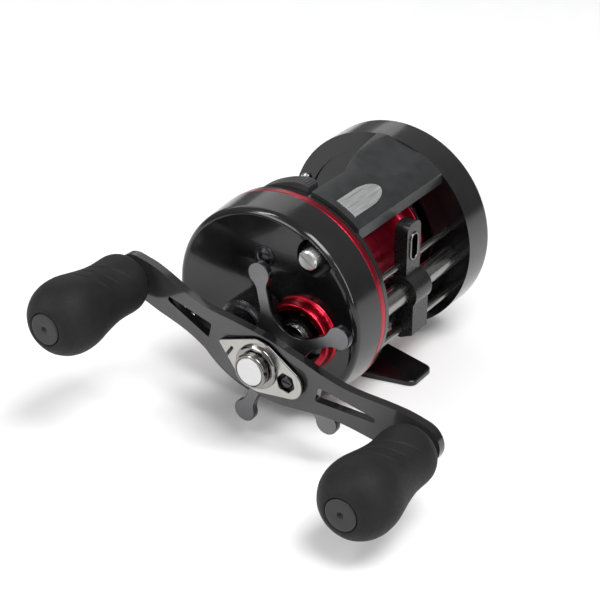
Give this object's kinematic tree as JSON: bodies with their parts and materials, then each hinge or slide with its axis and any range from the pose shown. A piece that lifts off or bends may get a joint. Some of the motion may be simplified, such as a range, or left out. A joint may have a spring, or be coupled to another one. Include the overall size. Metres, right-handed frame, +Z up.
{
  "type": "baitcasting fishing reel",
  "caption": "Round baitcasting fishing reel with a crank handle, star drag, level wind line guide, thumb release bar and a riveted foot that seats on a rod.",
  "frame": {"origin": "centre of the foot's underside, which seats on the rod", "axes": "+X along the spool axis from the handle to the palm side, +Y rearward towards the angler (the line leaves towards -Y), +Z up from the rod"},
  "size_m": [0.1302, 0.1156, 0.0654],
  "materials": {
    "gloss_black_metal": "high gloss black enamel",
    "red_anodised": "bright red anodised, polished",
    "satin_graphite": "satin dark grey, fine flake",
    "gunmetal": "gunmetal anodised with polished edges",
    "black_anodised": "black anodised, knurled",
    "polished_steel": "bright turned steel",
    "steel_bearing": "ground bearing steel",
    "badge_silver": "brushed silver, blank",
    "dark_screw": "blackened steel",
    "brass": "machined",
    "aluminium_plate": "plain machined",
    "nylon_gear": "moulded nylon",
    "carbon_washer": "woven carbon",
    "magnet": "nickel plated",
    "guide_black": "moulded black, gloss",
    "eye_ceramic": "hard polished insert",
    "button_grey": "ribbed dark grey",
    "knob_black": "soft black, satin",
    "knob_cap_dark": "dark grey disc"
  },
  "bodies": {
    "frame": {"frame": "gloss_black_metal", "reel_foot": "gloss_black_metal", "foot_rivets": "polished_steel", "thumb_rest": "satin_graphite", "badge": "badge_silver", "accent_ring": "red_anodised", "handle_side_plate": "gloss_black_metal", "plate_screw": "dark_screw", "bridge_plate": "aluminium_plate", "drive_shaft_bushing": "brass", "pinion_bearing": "steel_bearing", "yoke_springs": "polished_steel", "drag_collar": "red_anodised", "anti_reverse_bearing": "steel_bearing", "spool_bearings": "steel_bearing", "palm_side_plate": "gloss_black_metal", "palm_plate_screws": "polished_steel", "magnet_plate": "aluminium_plate", "brake_magnets": "magnet", "level_wind_tube": "polished_steel", "guide_rod_upper": "polished_steel", "guide_rod_lower": "polished_steel", "worm_bushings": "nylon_gear"},
    "crank": {"drive_shaft": "polished_steel", "drive_gear": "brass", "drag_washers": "carbon_washer", "keyed_washer": "polished_steel", "pressure_plate": "polished_steel", "drive_sleeve": "polished_steel", "spring_washers": "polished_steel", "level_wind_drive_gear": "nylon_gear", "handle_spacer": "aluminium_plate", "handle_arm": "gloss_black_metal", "nut_retainer": "polished_steel", "handle_nut": "polished_steel", "retainer_screw": "polished_steel", "knob_spindles": "polished_steel"},
    "star_drag": {"star_drag": "gunmetal"},
    "knob_front": {"knob_grip_front": "knob_black", "knob_cap_front": "knob_cap_dark", "knob_bearings_front": "steel_bearing"},
    "knob_rear": {"knob_grip_rear": "knob_black", "knob_cap_rear": "knob_cap_dark", "knob_bearings_rear": "steel_bearing"},
    "spool": {"spool": "red_anodised", "spool_shaft": "polished_steel", "brake_rotor": "aluminium_plate"},
    "clutch_button": {"clutch_button": "button_grey"},
    "clutch_yoke": {"clutch_yoke": "polished_steel"},
    "pinion": {"pinion": "brass"},
    "worm": {"worm_shaft": "brass", "worm_gear": "nylon_gear"},
    "line_guide": {"line_guide": "guide_black", "guide_eye": "eye_ceramic", "guide_pawl": "brass", "pawl_cap": "polished_steel"},
    "tension_knob": {"tension_knob": "black_anodised"},
    "thumb_screw_front": {"thumb_screw_front": "polished_steel"},
    "thumb_screw_lower": {"thumb_screw_lower": "polished_steel"},
    "thumb_screw_rear": {"thumb_screw_rear": "polished_steel"}
  },
  "joints": [
    {"name": "crank_spin", "type": "hinge", "parent": "frame", "child": "crank", "pos_m": [-0.045, -0.0131, 0.0289], "axis": [1, 0, 0], "continuous": true},
    {"name": "star_drag_turn", "type": "hinge", "parent": "crank", "child": "star_drag", "pos_m": [-0.048, -0.0131, 0.0289], "axis": [1, 0, 0], "range_deg": [-540, 90]},
    {"name": "knob_front_spin", "type": "hinge", "parent": "crank", "child": "knob_front", "pos_m": [-0.073, -0.05997, 0.01765], "axis": [1, 0, 0], "continuous": true},
    {"name": "knob_rear_spin", "type": "hinge", "parent": "crank", "child": "knob_rear", "pos_m": [-0.073, 0.03377, 0.04015], "axis": [1, 0, 0], "continuous": true},
    {"name": "spool_spin", "type": "hinge", "parent": "frame", "child": "spool", "pos_m": [0, 0, 0.032], "axis": [1, 0, 0], "continuous": true},
    {"name": "clutch_press", "type": "slide", "parent": "frame", "child": "clutch_button", "axis": [0, 0, -1], "range_m": [0, 0.004]},
    {"name": "yoke_slide", "type": "slide", "parent": "frame", "child": "clutch_yoke", "axis": [-1, 0, 0], "range_m": [0, 0.0014]},
    {"name": "pinion_spin", "type": "hinge", "parent": "clutch_yoke", "child": "pinion", "pos_m": [-0.031, 0, 0.032], "axis": [1, 0, 0], "continuous": true},
    {"name": "worm_spin", "type": "hinge", "parent": "frame", "child": "worm", "pos_m": [0, -0.02482, 0.0298], "axis": [1, 0, 0], "continuous": true},
    {"name": "line_guide_slide", "type": "slide", "parent": "frame", "child": "line_guide", "axis": [1, 0, 0], "range_m": [-0.0162, 0.0178]},
    {"name": "tension_knob_turn", "type": "hinge", "parent": "frame", "child": "tension_knob", "pos_m": [-0.045, 0, 0.032], "axis": [1, 0, 0], "range_deg": [-720, 180]},
    {"name": "thumb_screw_front_turn", "type": "hinge", "parent": "frame", "child": "thumb_screw_front", "pos_m": [-0.038, -0.01577, 0.05292], "axis": [1, 0, 0], "range_deg": [-1620, 0]},
    {"name": "thumb_screw_lower_turn", "type": "hinge", "parent": "frame", "child": "thumb_screw_lower", "pos_m": [-0.038, -0.01107, 0.00826], "axis": [1, 0, 0], "range_deg": [-1620, 0]},
    {"name": "thumb_screw_rear_turn", "type": "hinge", "parent": "frame", "child": "thumb_screw_rear", "pos_m": [-0.038, 0.02394, 0.02134], "axis": [1, 0, 0], "range_deg": [-1620, 0]}
  ],
  "couplings": [
    {"joint": "spool_spin", "follows": "crank_spin", "ratio": -5.3},
    {"joint": "pinion_spin", "follows": "crank_spin", "ratio": -5.3},
    {"joint": "worm_spin", "follows": "crank_spin", "ratio": -1.9375},
    {"joint": "yoke_slide", "follows": "clutch_press", "ratio": 0.35}
  ]
}
